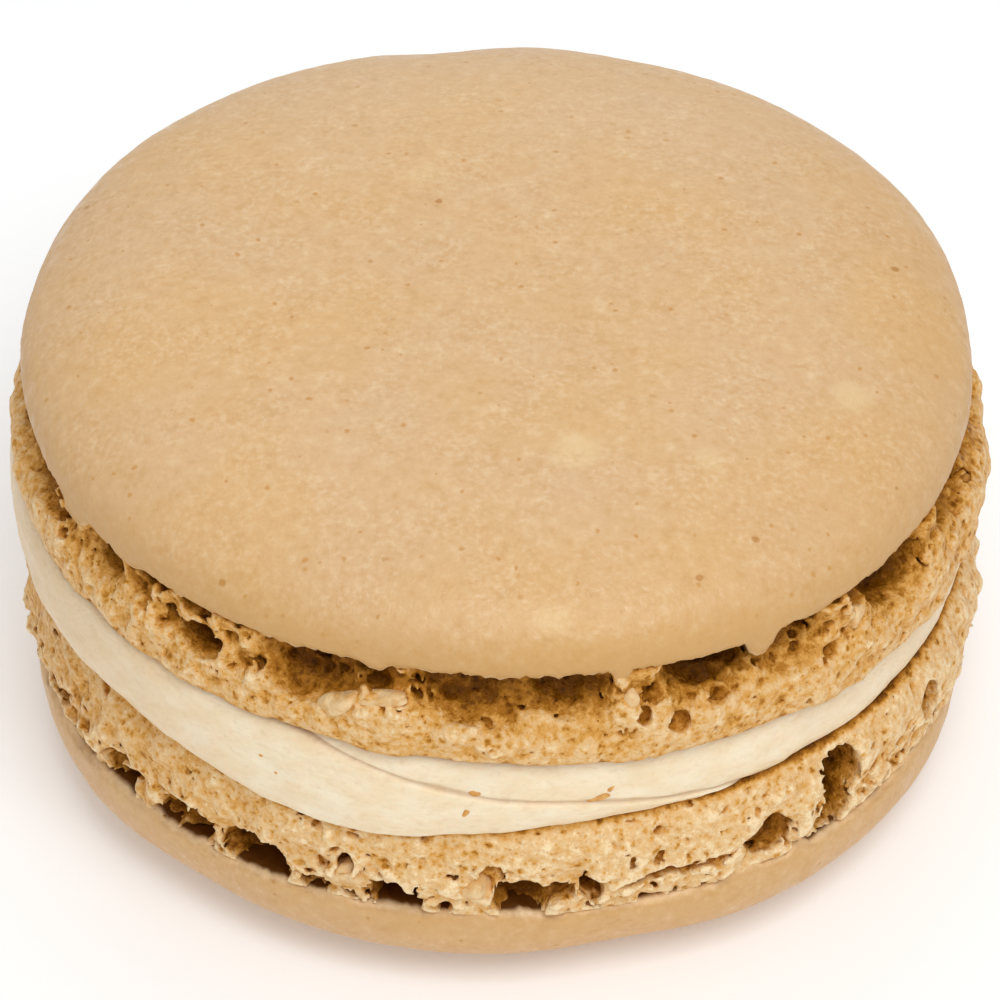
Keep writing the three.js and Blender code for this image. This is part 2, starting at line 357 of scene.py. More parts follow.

# %% [markdown]
# ## The crust's finish
#
# The crust is an even tan with the low sheen of an eggshell. Ground almond shows in it as paler and darker
# grains, with a freckle or a pore here and there, and white glints are painted on it in small spots like
# grains of sugar. Painted shade darkens the shoulder, the part near the table and a band just above the lip,
# a painted highlight runs along the lip itself, a painted sheen lies on the far side, and the underside, seen
# only in the foot's hollows, is painted dark as shade. Each of these is one layer. The mesh carries a number,
# `above_lip`, that says where the lip is.


# %% Finish of the crust
def crust_finish():
    material, shader, place = finish_named("crust")
    broad = noise(place, 8.0, detail=2.0)
    grain = noise(place, 0.7, detail=4.0, rough=0.62)
    uneven = wobbled(place, 0.3, 0.2)
    fine = noise(place, 0.28, detail=2.0, seed=17)
    patchy = noise(place, 3.0, detail=2.0, seed=15).ramp(0.35, 0.65) * 0.8 + 0.2
    blotches = spots(uneven, 6.5, 1.0, 0.45, seed=3)
    freckles = spots(uneven, 0.85, 0.13, 0.3, seed=5)
    painted_glints = spots(uneven, 4.2, 0.15, 0.6, soft=0.3, seed=21)
    pores = spots(uneven, 2.3, 0.24, 0.45, soft=0.35, seed=7)
    ash = spots(uneven, 6.0, 0.3, 0.6, soft=0.4, seed=9)
    _, y, z = place.parts()
    upper = z.ramp(8.0, 12.0)
    above_lip = attribute(material, "above_lip")
    low = above_lip + (grain - 0.5) * 0.5
    skin = layered(
        blend_colours(broad.ramp(0.3, 0.7), srgb(226, 186, 138), srgb(228, 184, 126)),
        ((1 - grain.ramp(0.25, 0.5)) * 0.5, (210, 162, 98)),
        (grain.ramp(0.5, 0.78) * 0.6, (242, 210, 164)),
        (blotches * 0.5, (244, 214, 160)),
        (fine.ramp(0.5, 0.72) * patchy * 0.26, (252, 228, 192)),
        ((1 - fine.ramp(0.28, 0.5)) * patchy * 0.28, (206, 150, 80)),
        (freckles * 0.75, (204, 144, 64)),
        # white glints painted on the crust, in small spots like grains of sugar
        (painted_glints * 0.7, (255, 244, 224)),
        (pores * 0.8, (186, 124, 44)),
        (ash * 0.6, (150, 122, 92)),
        ((1 - z.ramp(20.5, 24.0)) * upper * 0.3, (212, 160, 88)),  # painted shade where the shoulder turns down
        (y.ramp(4.0, 18.0) * 0.22, (240, 212, 176)),  # painted sheen on the far side
        ((1 - z.ramp(1.0, 6.0)) * 0.5, (190, 142, 86)),  # painted shade near the table
        # painted shade in a band just above the lip, where the crust turns down
        ((1 - low.ramp(0.4, 2.6)) * (upper * 0.34 + 0.36), (200, 150, 76)),
        ((1 - low.ramp(0.02, 0.3)) * 0.7, (244, 212, 166)),  # painted highlight along the lip's edge
        (1 - above_lip.ramp(-0.35, 0.0), (104, 60, 8)),  # painted shade on the underside, seen only in the hollows of the foot
    )
    feed(shader.inputs["Base Color"], skin)
    feed(shader.inputs["Roughness"], 0.48 - noise(place, 1.1, detail=3.0, seed=13).ramp(0.5, 0.7) * 0.16)
    bump(shader, noise(place, 0.4, detail=3.0, rough=0.55), 0.075)
    return material


CRUST = crust_finish()
print("made the finish", CRUST.name)

# %% [markdown]
# ## The foot's finish
#
# The froth is pale where it stands out and brown in its hollows, so its colour follows the form. The brown is
# partly the froth's own baked colour and partly painted shade, darkest deep in the hollows, and the pale on
# the knobs is partly a painted highlight. The mesh carries two numbers: `sunk` says how far a point lies
# behind the side of the foot, with painted shade in the groove, under the cream and on the left added, and
# `knob` how far it stands out from its neighbours. Together they choose from six colours, from cream to dark
# brown. Pores finer than the mesh are painted as small brown spots.


# %% Finish of the foot
def foot_finish():
    material, shader, place = finish_named("foot")
    grain = noise(place, 0.38, detail=3.0, rough=0.65)
    uneven = wobbled(place, 0.25, 0.3)
    pores = spots(uneven, 0.5, 0.16, 0.3, soft=0.8)
    pinholes = spots(uneven, 0.27, 0.09, 0.2, soft=0.8, seed=4)
    # the pale knobs and the dark hollows are partly painted highlight and painted shade
    sunk = attribute(material, "sunk") - attribute(material, "knob") * 3.2 + (grain - 0.5) * 2.2
    sunk = sunk + pores * 0.8 + pinholes * 0.5
    colour = layered(
        srgb(254, 228, 182),
        (sunk.ramp(-0.6, 0.05), (236, 194, 136)),
        (sunk.ramp(0.0, 0.5), (224, 166, 84)),
        (sunk.ramp(0.4, 1.0), (184, 122, 38)),
        # the two darkest colours are painted shade deep in the hollows
        (sunk.ramp(0.9, 1.8), (128, 76, 8)),
        (sunk.ramp(1.7, 2.8), (80, 40, 0)),
    )
    feed(shader.inputs["Base Color"], colour)
    shader.inputs["Roughness"].default_value = 0.42
    shader.inputs["Specular IOR Level"].default_value = 0.1
    bump(shader, noise(place, 0.3, detail=2.0, rough=0.65), 0.17)
    return material


FOOT = foot_finish()
print("made the finish", FOOT.name)

# %% [markdown]
# ## The cream's finish
#
# Buttercream is ivory, soft and faintly greasy. Light enters it and comes out again a little way off, which
# takes the hardness out of its shadows, and subsurface scattering gives that. It is browner to the left and
# right, and shade is painted into its seam and where it meets the shells, as a number that the mesh carries.


# %% Finish of the cream
def cream_finish():
    material, shader, place = finish_named("cream")
    soft = noise(place.scaled((1, 1, 2)), 2.2, detail=4.0, rough=0.6)
    fine = noise(place.scaled((1, 1, 1.6)), 0.5, detail=3.0, rough=0.6)
    x, _, _ = place.parts()
    colour = layered(
        srgb(253, 236, 206),
        (soft.ramp(0.3, 0.7), (246, 222, 182)),
        ((1 - fine.ramp(0.25, 0.5)) * 0.3, (226, 192, 144)),
        (x.ramp(8.0, 22.0) * 0.35, (224, 190, 142)),
        ((1 - x.ramp(-22.0, -10.0)) * 0.5, (216, 176, 118)),
        # painted shade in the seam and where the cream meets the shells
        (attribute(material, "stained"), (160, 106, 32)),
    )
    feed(shader.inputs["Base Color"], colour)
    shader.inputs["Roughness"].default_value = 0.4
    shader.inputs["Subsurface Weight"].default_value = 0.2
    shader.inputs["Subsurface Scale"].default_value = 0.5 * MM
    shader.inputs["Subsurface Radius"].default_value = (1.0, 0.6, 0.35)  # red goes the farthest
    bump(shader, fine * 0.6 + soft * 0.8, 0.14)
    return material


CREAM = cream_finish()
print("made the finish", CREAM.name)

# %% [markdown]
# ## Small finishes
#
# Bits of almond and crumbs of shell are tiny, so two colours that run into each other are enough for them,
# with a fine bump for their broken faces. The floor is white paper that glows faintly, which keeps its shadow
# pale.


# %% Finishes of almond, crumbs and paper
def two_tone_finish(name, pale, dark, size, detail, reach, roughness, relief):
    """Two colours that run into each other in patches about `size` across, with a fine bump."""
    material, shader, place = finish_named(name)
    patches = noise(place, size, detail=detail).ramp(0.5 - reach, 0.5 + reach)
    feed(shader.inputs["Base Color"], blend_colours(patches, srgb(*pale), srgb(*dark)))
    shader.inputs["Roughness"].default_value = roughness
    relief_size, relief_detail, relief_depth = relief
    bump(shader, noise(place, relief_size, detail=relief_detail), relief_depth)
    return material


def floor_finish():
    material, shader, _ = finish_named("paper")
    shader.inputs["Base Color"].default_value = srgb(252, 253, 254)
    shader.inputs["Emission Color"].default_value = srgb(252, 254, 255)
    shader.inputs["Emission Strength"].default_value = 0.17
    shader.inputs["Roughness"].default_value = 0.8
    return material


ALMOND = two_tone_finish("almond", (240, 206, 152), (222, 172, 104), 0.6, 3.0, 0.15, 0.45, (0.3, 3.0, 0.14))
CRUMB = two_tone_finish("crumb", (232, 180, 104), (208, 146, 66), 0.3, 2.0, 0.2, 0.6, (0.12, 2.0, 0.04))
floor.data.materials.append(floor_finish())
print("finishes:", [material.name for material in bpy.data.materials])

# %% [markdown]
# ## Working by hand
#
# Everything round on the macaron starts as a line in the XZ plane: one vertex is pulled from point to point,
# and the line is then turned about the upright axis, as on a lathe. Sums on the vertices and a cloudy texture
# then take the machine-made look away. Every piece needs these steps, so they are named here once.


# %% Drawing and turning
def deselect_all():
    if bpy.context.object and bpy.context.object.mode != "OBJECT":
        bpy.ops.object.mode_set(mode="OBJECT")
    bpy.ops.object.select_all(action="DESELECT")


def draw_outline(name, points):
    """A new object whose mesh is one line, drawn by pulling a vertex from point to point in the XZ plane."""
    deselect_all()
    (radius, height), *rest = points
    bpy.ops.mesh.primitive_plane_add(size=MM, location=(0, 0, 0))
    piece = bpy.context.object
    piece.name = name
    bpy.ops.object.mode_set(mode="EDIT")
    bpy.ops.mesh.select_mode(type="VERT")
    bpy.ops.mesh.merge(type="CENTER")
    bpy.ops.transform.translate(value=(radius * MM, 0, height * MM))
    for next_radius, next_height in rest:
        step = ((next_radius - radius) * MM, 0, (next_height - height) * MM)
        bpy.ops.mesh.extrude_region_move(TRANSFORM_OT_translate={"value": step})
        radius, height = next_radius, next_height
    bpy.ops.object.mode_set(mode="OBJECT")
    return piece


def spin_round(piece, steps):
    """Turns an outline about the Z axis, as a lathe does, and closes the seam and the poles."""
    bpy.ops.object.mode_set(mode="EDIT")
    bpy.ops.mesh.select_all(action="SELECT")
    bpy.ops.mesh.spin(steps=steps, angle=2 * math.pi, center=(0, 0, 0), axis=(0, 0, 1))
    bpy.ops.mesh.select_all(action="SELECT")
    bpy.ops.mesh.remove_doubles(threshold=0.002 * MM)
    bpy.ops.mesh.normals_make_consistent(inside=False)
    bpy.ops.object.mode_set(mode="OBJECT")


print("ready to draw and turn")


# %% Taking hold of a mesh
def apply_modifiers(piece):
    deselect_all()
    bpy.context.view_layer.objects.active = piece
    piece.select_set(True)
    for modifier in list(piece.modifiers):
        bpy.ops.object.modifier_apply(modifier=modifier.name)


def points_of(piece):
    """Every vertex of a piece as rows of x, y, z in millimetres."""
    flat = np.empty(3 * len(piece.data.vertices))
    piece.data.vertices.foreach_get("co", flat)
    return flat.reshape(-1, 3) / MM


def put_points(piece, points):
    piece.data.vertices.foreach_set("co", (points * MM).ravel())
    piece.data.update()


def rough_up(piece, size, strength, direction="NORMAL", group=""):
    """Moves the surface in and out by a cloudy texture with lumps about `size` across."""
    texture = bpy.data.textures.new(f"{piece.name} clouds {size}", "CLOUDS")
    texture.noise_scale = size * MM
    modifier = piece.modifiers.new("relief", "DISPLACE")
    modifier.texture = texture
    modifier.texture_coords = "LOCAL"
    modifier.strength = strength * MM
    modifier.direction = direction
    modifier.vertex_group = group


def triangles_in(piece):
    return sum(len(face.vertices) - 2 for face in piece.data.polygons)


def polar(points):
    """The direction of each point from the upright axis, in radians, and its distance from it."""
    return np.arctan2(points[:, 1], points[:, 0]), np.hypot(points[:, 0], points[:, 1])


def coat(piece, material):
    """Gives a finished piece its one material and smooth shading."""
    piece.data.materials.clear()
    piece.data.materials.append(material)
    piece.data.shade_smooth()
    print(piece.name, triangles_in(piece), "triangles")


print("ready to shape")

# %% [markdown]
# ## The two shells
#
# Both shells were piped and baked in the same way, so one description fits both. Each is told in its own
# frame, with the lip of the crust at height 0, the crust above it and the foot below. The lower shell is the
# same thing turned over. What differs is kept in a table for each: how high it rose, how far the froth stands
# out at each height, and where the big bubbles burst. Tables are easier to change than code.

# %% Sizes of the two shells
SKIRT_RADIUS = 22.5  # the widest part of a foot
CRUST_RADIUS = 21.9
LIP_ROUND = 0.5
LOWER_CRUST = 5.15  # heights of the layers, from the table up
LOWER_FOOT = 5.65
CREAM_THICKNESS = 3.8
UPPER_FOOT = 4.7
UPPER_LIP = LOWER_CRUST + LOWER_FOOT + CREAM_THICKNESS + UPPER_FOOT
TIP = 0.026  # radians by which the upper shell tips down to the right

# `height` is the crown above the lip and `crown` the radius of its level part. `shoulder` and `roundness` are
# the powers of the superellipse, and `crust_outline` says how far the crust is out of round. `rise` is the
# slope of the foot's flat face. The next three darken the froth: the first in its groove under the lip,
# partly as baked colour and partly as painted shade, `baked` all over, and the third at the left, as painted
# shade.
# `settled` calms it by the lip, and `past_lip` is how far it climbs past the lip.
LOWER = dict(
    name="lower",
    node="lower_shell",
    facing=-1,
    seed=11.0,
    height=LOWER_CRUST,
    shoulder=3.1,
    roundness=3.5,
    crown=11.0,
    crust_outline=([0, 0, -0.1, -0.12], [-0.08, 0, 0, 0]),
    foot=LOWER_FOOT,
    rise=-0.03,
    browned_and_shaded=0.0,
    baked=0.0,
    left_shade=0.25,
    settled=0.6,
    past_lip=0.1,
    placing=Matrix.Translation((0, 0, LOWER_CRUST * MM)) @ Matrix.Rotation(math.pi, 4, "X"),
)
UPPER = dict(
    name="upper",
    node="upper_shell",
    facing=1,
    seed=23.0,
    height=4.9,
    shoulder=4.4,
    roundness=2.2,
    crown=3.0,
    crust_outline=([-0.03, -0.06, -0.1, -0.13], [-0.02, 0.05, 0.07, 0.04]),
    foot=UPPER_FOOT,
    rise=0.035,
    browned_and_shaded=0.6,
    baked=0.24,
    left_shade=0.0,
    settled=0.0,
    past_lip=0.6,
    placing=Matrix.Translation((0, 0, UPPER_LIP * MM)) @ Matrix.Rotation(TIP, 4, "Y"),
)

print("the upper lip is", round(UPPER_LIP, 2), "mm above the table")

# %% The shape of each foot
# How far the side lies inside the skirt, in millimetres, for each share of the way from the lip to the cream.
UPPER["side"] = [
    (0, 1.9),
    (0.13, 1.9),
    (0.26, 1.7),
    (0.37, 1.1),
    (0.48, 0.5),
    (0.6, 0.1),
    (0.9, 0.1),
    (1, 0.45),
]
LOWER["side"] = [
    (0, 0.62),
    (0.06, 0.6),
    (0.15, 0.45),
    (0.35, 0.25),
    (0.55, 0.25),
    (0.75, 0.4),
    (0.9, 0.75),
    (1, 1.3),
]

# Where the froth stands out all the way up to the lip: angle and half width, in degrees.
UPPER["full"] = [(-152, 5), (-137, 3.5), (-125, 7), (-103.5, 3), (-74, 3), (-46, 4), (-28, 2.5)]
LOWER["full"] = []

# Hollows: angle, drop below the lip, half width, half height, and how deep each one goes in from the skirt.
UPPER["hollows"] = [
    (-160, 0.9, 2.6, 1.0, 1.8),
    (-143, 0.8, 1.0, 1.0, 2.4),
    (-136, 0.2, 0.7, 0.6, 2.4),
    (-128, 0.1, 0.9, 0.45, 2.4),
    (-127, 1.7, 1.3, 0.75, 2.6),
    (-112.5, 1.2, 2.0, 1.5, 2.3),
    (-106.5, 0.4, 1.0, 0.6, 2.4),
    (-93, 1.0, 2.6, 1.3, 2.3),
    (-82, 0.9, 2.0, 1.2, 2.5),
    (-64.5, 0.7, 2.2, 1.3, 3.6),
    (-54, 0.4, 1.0, 0.9, 3.0),
    (-36, 1.2, 2.2, 1.4, 2.8),
    (-22, 0.9, 1.6, 1.1, 2.6),
    (-73.5, 2.4, 0.4, 0.5, 1.0),
    (-69, 3.1, 0.6, 0.5, 0.9),
    (-64, 2.4, 0.5, 0.5, 1.0),
    (-48.5, 2.5, 0.4, 0.4, 0.9),
]
LOWER["hollows"] = [
    (-157, 1.6, 0.9, 0.7, 2.2),
    (-142, 1.1, 1.0, 1.35, 2.6),
    (-134, 0.5, 0.8, 0.6, 2.2),
    (-130, 1.25, 1.35, 1.5, 2.6),
    (-120, 1.0, 1.8, 1.4, 3.2),
    (-112.5, 0.5, 0.7, 0.6, 2.4),
    (-111.5, 4.3, 0.25, 0.22, 1.3),
    (-109.6, 3.3, 0.25, 0.22, 1.3),
    (-107.6, 4.2, 0.22, 0.2, 1.2),
    (-108, 2.6, 0.4, 0.6, 1.6),
    (-102.3, 0.75, 1.25, 1.15, 3.8),
    (-96.5, 0.4, 0.4, 0.4, 2.2),
    (-90.8, 2.7, 0.6, 0.7, 0.9),
    (-87.5, 1.1, 1.3, 1.5, 2.7),
    (-83.3, 1.5, 0.9, 0.55, 3.2),
    (-79.3, 1.7, 0.55, 0.8, 2.8),
    (-69, 1.8, 3.0, 0.3, 1.6),
    (-57, 1.9, 1.3, 1.2, 2.5),
    (-46, 3.1, 1.3, 1.5, 3.2),
    (-47, 1.3, 1.1, 1.3, 3.2),
    (-37.5, 0.7, 0.5, 0.4, 1.8),
    (-28, 2.7, 0.8, 1.2, 2.2),
]


# %% Hollows round the far half
FAR_HOLLOWS = 10
FAR_START = -6  # degrees
FAR_SPACING = 19.2


def any_number(count):
    """A number from 0 to 1 that looks drawn by lot and is the same each time."""
    return (math.sin(count * 12.9898 + 4.1414) * 43758.5453) % 1


for shell in (LOWER, UPPER):
    for spot in range(FAR_HOLLOWS):
        lots = [any_number(shell["seed"] * 100 + spot * 7 + draw) for draw in range(5)]
        angle = FAR_START + (spot + 0.3 + 0.4 * lots[0]) * FAR_SPACING
        sizes = (0.6 + 1.2 * lots[1], 1.0 + 0.9 * lots[2], 0.6 + 0.5 * lots[3], 2.2 + lots[4])
        shell["hollows"].append((angle, *sizes))
    print(shell["node"], "has", len(shell["hollows"]), "hollows")


# %% Out of round
def swell(outline, angle):
    """How far an out-of-round outline stands out at an angle: waves once, twice and more times round."""
    cosines, sines = outline
    out = sum(size * np.cos(turns * angle) for turns, size in enumerate(cosines, 1))
    return out + sum(size * np.sin(turns * angle) for turns, size in enumerate(sines, 1))


def angle_between(angle, other):
    """How far apart two directions are, in radians, the short way round."""
    return np.abs((angle - other + math.pi) % (2 * math.pi) - math.pi)


for shell in (LOWER, UPPER):
    print(shell["node"], "stands out at the right by", round(swell(shell["crust_outline"], 0.0), 2), "mm")

# %% [markdown]
# ## Crusts
#
# The crust is the dried skin of the batter, so it is smooth, with a rounded lip, a shoulder that follows a
# superellipse and a nearly level crown. It could be a squashed ball, but that has no lip, and its shoulder is
# too soft. A drawn outline that is spun gives all three. The outline is divided evenly, because the bumps and
# the drips that come afterwards need vertices everywhere. Three things then spoil the perfect round: slow
# waves in the outline, drips where batter ran over the lip, and cloudy noise that is strongest at the lip.

# %% The crust's outline
CRUST_SPACING = 0.28
CRUST_STEPS = 640


def evenly(points, spacing):
    """The same outline, with points at equal spacing along it."""
    points = np.array(points)
    along = np.concatenate([[0], np.cumsum(np.hypot(*np.diff(points, axis=0).T))])
    marks = np.linspace(0, along[-1], round(along[-1] / spacing) + 1)
    return list(zip(np.interp(marks, along, points[:, 0]), np.interp(marks, along, points[:, 1])))


def crust_outline(shell):
    """The flat underside, the lip as a quarter circle, the superellipse and the level crown."""
    lip = [
        (CRUST_RADIUS - LIP_ROUND * (1 - math.sin(turn)), LIP_ROUND * (1 - math.cos(turn)))
        for turn in np.linspace(0, math.pi / 2, 9)
    ]
    rise = shell["height"] - LIP_ROUND
    last = math.acos((shell["crown"] / CRUST_RADIUS) ** (shell["shoulder"] / 2))
    dome = []
    for turn in np.linspace(0, last, 400):
        radius = CRUST_RADIUS * math.cos(turn) ** (2 / shell["shoulder"])
        height = LIP_ROUND + rise * (math.sin(turn) / math.sin(last)) ** (2 / shell["roundness"])
        dome.append((radius, height))
    shown = evenly([*lip, *dome[1:], (0, shell["height"])], CRUST_SPACING)
    return [(0, 0), (12, 0), (19, 0), (20.5, 0), (21, 0), *shown]


print("outlines of", len(crust_outline(LOWER)), "and", len(crust_outline(UPPER)), "points")

# %% Crusts
# Where batter ran down over the lip before it set: angle, length and half width.
UPPER["drips"] = [(-150, 1.0, 0.9), (-139, 0.3, 0.7), (-104.5, 0.5, 0.5), (-76, 0.9, 0.38), (-58.5, 1.0, 0.6)]
LOWER["drips"] = [(-137, 0.4, 0.7), (-93, 0.3, 0.6), (-60, 0.5, 0.8), (-52, 0.4, 0.5)]
LIP_BAND = 1.2  # the lip's unevenness fades out this far above its edge
LEVEL_UNDERSIDE = 20  # inside this radius the underside stays level

# Where a crust's edge is dented: angle, half width in degrees, and depth.
UPPER["dents"] = [(98, 8, 0.5)]
LOWER["dents"] = [(-76, 12, 0.45), (-130, 12, 0.35)]


def make_crust(shell):
    piece = draw_outline(shell["name"] + "_crust", crust_outline(shell))
    spin_round(piece, CRUST_STEPS)
    points = points_of(piece)
    angle, radius = polar(points)

    # The height above the lip, and on the underside the way in from the edge, as a negative number.
    under = np.minimum(radius - CRUST_RADIUS + 0.5 * LIP_ROUND, 0)
    above_lip = piece.data.attributes.new("above_lip", "FLOAT", "POINT")
    above_lip.data.foreach_set("value", np.where(points[:, 2] > 0.14 * LIP_ROUND, points[:, 2], under))

    # Out of round, dented and dripping.
    share = (radius / CRUST_RADIUS) ** 2
    out = swell(shell["crust_outline"], shell["facing"] * angle)
    for middle, half_width, deep in shell["dents"]:
        away = angle_between(angle, shell["facing"] * math.radians(middle)) / math.radians(half_width)
        out = out - deep * np.exp(-(away**2)) * np.clip(points[:, 2] / 2, 0.2, 1)
    grown = 1 + out * share / np.maximum(radius, 1)
    points[:, :2] *= grown[:, None]
    edge = np.where(radius > LEVEL_UNDERSIDE, np.clip(1 - points[:, 2] / LIP_BAND, 0, 1), 0)
    for middle, length, half_width in shell["drips"]:
        away = angle_between(angle, shell["facing"] * math.radians(middle)) * CRUST_RADIUS / half_width
        points[:, 2] -= length * edge * np.exp(-(away**4))
    put_points(piece, points)
    lip = piece.vertex_groups.new(name="lip")
    for vertex, weight in zip(piece.data.vertices, edge):
        if weight > 0:
            lip.add([vertex.index], weight, "REPLACE")
    rough_up(piece, 9.0, 0.25)
    rough_up(piece, 0.9, 0.05)
    rough_up(piece, 1.8, 0.45, direction="Z", group="lip")
    rough_up(piece, 0.45, 0.5, direction="Z", group="lip")
    apply_modifiers(piece)
    piece.data.transform(shell["placing"])
    coat(piece, CRUST)
    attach(piece, "root")
    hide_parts(shell["node"])


make_crust(LOWER)
make_crust(UPPER)

# %% [markdown]
# ## Froth
#
# The foot is set foam: a wall full of burst bubbles, some of them caves that run under the crust. A displaced
# wall can't have caves or overhangs, so the foam is made as a volume instead. Every point in space gets a
# depth, which is positive inside the dough and negative in the air. A bubble takes the smaller of that depth
# and the distance to its own wall, and many bubbles of four sizes eat into the side like that. The mesh is
# then drawn where the depth is zero.
#
# A grid of cubes that fits a whole ring would be mostly empty, so the volume is a long straight strip, which
# is rolled into a ring once it is a mesh. The patterns are looked up where each point will lie once it is
# rolled, so that they meet at the seam.

# %% A strip that is rolled into a ring
VOXEL = 0.15
CORE = 19.0  # the froth stops at this radius, and the foot is plain inside it
ONCE_ROUND = 2 * math.pi * SKIRT_RADIUS

BUBBLES = [  # spacing, largest radius, how rare, and whether they keep to the groove under the lip
    (2.3, 1.0, 0.35, True),
    (1.3, 0.5, 0.4, False),
    (0.75, 0.3, 0.3, False),
    (0.45, 0.2, 0.25, False),
]
DEEPEST_SIDE = 2.0  # millimetres that the side's drawn curve spans


def turn_at(along):
    """The direction in which a point of the strip will lie, in radians. Its middle comes to the front."""
    return along * (1 / SKIRT_RADIUS) + math.radians(FRONT)


def rolled(strip):
    """Where a point of the straight strip comes to lie once the strip is rolled into a ring."""
    along, radius, height = strip.parts()
    angle = turn_at(along)
    node = strip.socket.id_data.nodes.new("ShaderNodeCombineXYZ")
    for slot, value in zip(node.inputs, (angle.cos() * radius, angle.sin() * radius, height)):
        feed(slot, value)
    return Field(node.outputs[0])


def grains(place, size, seed):
    """Round grains about `size` across: positive in the middle of each, with sharp valleys between."""
    distance, _ = bubbles(place, size, seed)
    return 0.45 * size - distance


print("a strip of", round(ONCE_ROUND, 1), "mm goes once round")


# %% Froth
def froth(strip, shell):
    """How deep each point lies in the foot, in millimetres, and how far it lies behind the foot's side, with
    painted shade added.
    """
    seed = shell["seed"]
    place = rolled(strip)
    x, _, z = place.parts()
    along, radius, _ = strip.parts()
    turn = turn_at(along)

    # The side as it was drawn, its drawn points moved up and down a little from place to place.
    height = x * shell["rise"] + shell["foot"]
    level = z * -1 / height
    waver = (noise(place, 1.8, detail=2.0, seed=seed) - 0.5) * 1.6
    share = level + waver * (1 - level.ramp(0.5, 0.9)) / height
    inward = share.curve([(at, depth / DEEPEST_SIDE) for at, depth in shell["side"]]) * DEEPEST_SIDE
    groove = 1 - share.ramp(0.35, 0.6)
    for angle, half_width in shell["full"]:
        middle, width = math.radians(shell["facing"] * angle), math.radians(half_width)
        stands = (turn - middle).cos().ramp(math.cos(1.6 * width), math.cos(0.4 * width))
        inward = inward * (1 - stands * 0.75)

    # The skin: ruffles and grains on that side, calmer by the cream and by the crust.
    wander = noise(place, 0.9, detail=2.0, seed=seed, output="Color").shifted((-0.5, -0.5, -0.5))
    bent = place.shifted(wander.scaled((1.4, 1.4, 1.2)))
    uneven = place.shifted(wander.scaled((0.8, 0.8, 0.8)))
    ruffle = (noise(place, 2.2, detail=1.0, seed=seed + 3) - 0.5) * 1.6
    crumb = grains(bent, 1.5, seed + 5) * 0.45 + grains(bent, 0.6, seed + 7) * 0.4
    calm = 1 - level.ramp(0.72, 0.98) * 0.7 - (1 - level.ramp(0.0, 0.2)) * shell["settled"]
    swollen = turn.cos() * 0.1 + (turn * 2).cos() * 0.05
    side = swollen + SKIRT_RADIUS - radius - inward
    skin = side + (ruffle + crumb) * (groove * 0.3 + 0.6) * calm

    # Bubbles near the skin, and then the large hollows, each a stretched ball.
    near = 1 - skin.ramp(0.6, 1.6)
    depth = skin
    for spacing, largest, rare, in_groove in BUBBLES:
        distance, chance = bubbles(bent, spacing, seed + spacing)
        reach = groove if in_groove else groove * 0.5 + 0.6
        bubble = chance.ramp(rare, 1.0) * near * reach * largest
        depth = depth.least(distance - bubble, 0.03)
    for angle, drop, half_width, half_height, reach in shell["hollows"]:
        facing = math.radians(shell["facing"] * angle)
        out = SKIRT_RADIUS - 0.3 * reach
        centre = (math.cos(facing) * out, math.sin(facing) * out, -drop)
        local = uneven.shifted([-v for v in centre]).turned(-facing)
        local = local.scaled((1 / (0.7 * reach), 1 / half_width, 1 / half_height))
        depth = depth.least((local.length() - 1) * min(half_width, half_height), 0.06)

    # How brown it is drawn: partly its baked colour and partly painted shade in the hollows and the groove,
    # by the cream and at the left. Then the planes that close the foot towards the cream and the crust.
    # painted shadow along the foot's edge under the cream
    shade_by_cream = 1 - (z + height).ramp(0.0, 0.4)
    sunk = side * 0.6 + skin * 0.4 + groove * inward * shell["browned_and_shaded"] + shade_by_cream * 0.55 + shell["baked"]
    # painted shade on the left side of the froth
    sunk = sunk + (1 - x.ramp(-20.0, -2.0)) * shell["left_shade"]
    under_lip = CRUST_RADIUS - 0.15 - radius - z * 3
    return depth.least(z + height).least(z * -1 + shell["past_lip"]).least(under_lip), sunk


# %% The froth's nodes
def then(tree, kind, geometry, **inputs):
    """Pass the geometry through one more node."""
    node = tree.nodes.new(kind)
    tree.links.new(geometry, node.inputs[0])
    for name, value in inputs.items():
        feed(node.inputs[name.replace("_", " ").capitalize()], value)
    return node


KNOB_ROUNDS = 14  # how widely a point is compared with its neighbours
SPARE = 4  # voxels that the strip runs past one turn at each end
STEPS_ROUND = round(ONCE_ROUND / VOXEL)
STEP_ROUND = ONCE_ROUND / STEPS_ROUND


def strip_volume(tree, depth, shell):
    """The straight strip of space round a foot, filled with the froth's depth."""
    deepest = shell["foot"] + abs(shell["rise"]) * SKIRT_RADIUS
    low = Vector((-ONCE_ROUND / 2 - SPARE * STEP_ROUND, CORE, -deepest - 0.4))
    high = Vector((ONCE_ROUND / 2 + SPARE * STEP_ROUND, SKIRT_RADIUS + 1.2, 0.6))
    volume = tree.nodes.new("GeometryNodeVolumeCube")
    feed(volume.inputs["Density"], depth)
    volume.inputs["Background"].default_value = -1.0
    volume.inputs["Min"].default_value = low * MM
    volume.inputs["Max"].default_value = high * MM
    volume.inputs["Resolution X"].default_value = STEPS_ROUND + 2 * SPARE + 1
    volume.inputs["Resolution Y"].default_value = round((high.y - low.y) / VOXEL)
    volume.inputs["Resolution Z"].default_value = round((high.z - low.z) / VOXEL)
    return volume


